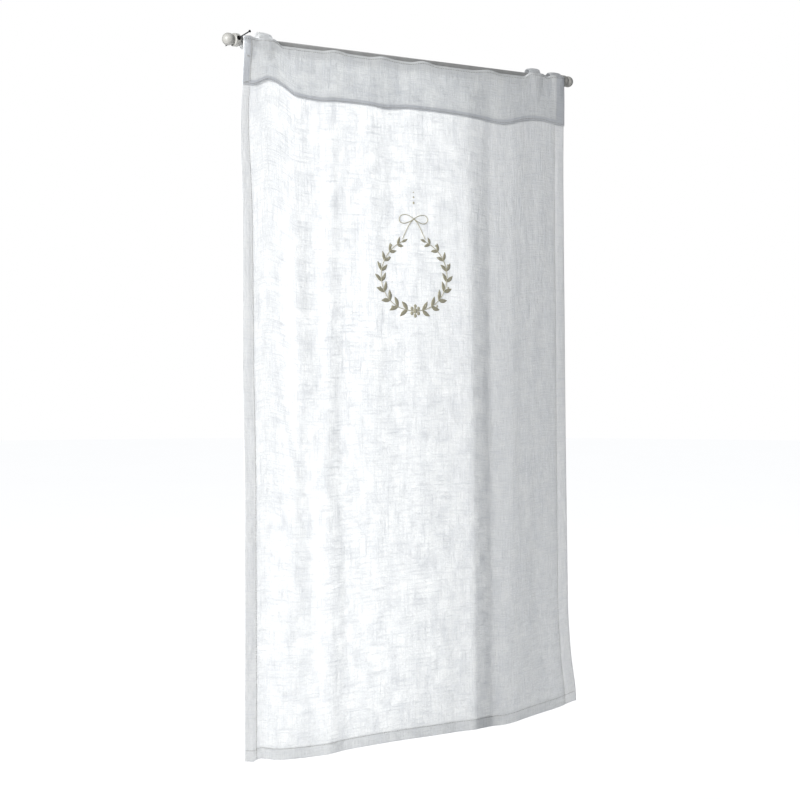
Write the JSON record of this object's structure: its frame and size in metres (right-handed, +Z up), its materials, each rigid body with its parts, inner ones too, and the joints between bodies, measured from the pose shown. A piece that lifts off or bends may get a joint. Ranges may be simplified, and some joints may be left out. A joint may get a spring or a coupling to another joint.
{
  "type": "cafe curtain on rod",
  "caption": "Plain white linen cafe curtain with a deep heading and a stitched wreath, hanging by short loops from a painted round rod with ball ends.",
  "frame": {"origin": "on the rod's axis, behind the middle of the cloth's width", "axes": "+X along the rod, left to right as seen from the room; +Y from the room into the window frame; +Z up"},
  "size_m": [0.6722, 0.0633, 1.034],
  "materials": {
    "linen": "matte open weave, lets light through",
    "stitch_thread": "taupe embroidery thread, soft satin",
    "white_paint": "old cream white paint, satin",
    "dark_steel": "dark drawn wire"
  },
  "bodies": {
    "root": {"panel": "linen", "heading": "linen", "tab_corner_left": "linen", "tab_inner_left": "linen", "tab_inner_right": "linen", "tab_corner_right": "linen", "rod": "white_paint", "finial_left": "white_paint", "finial_right": "white_paint", "nail": "dark_steel"}
  },
  "joints": []
}
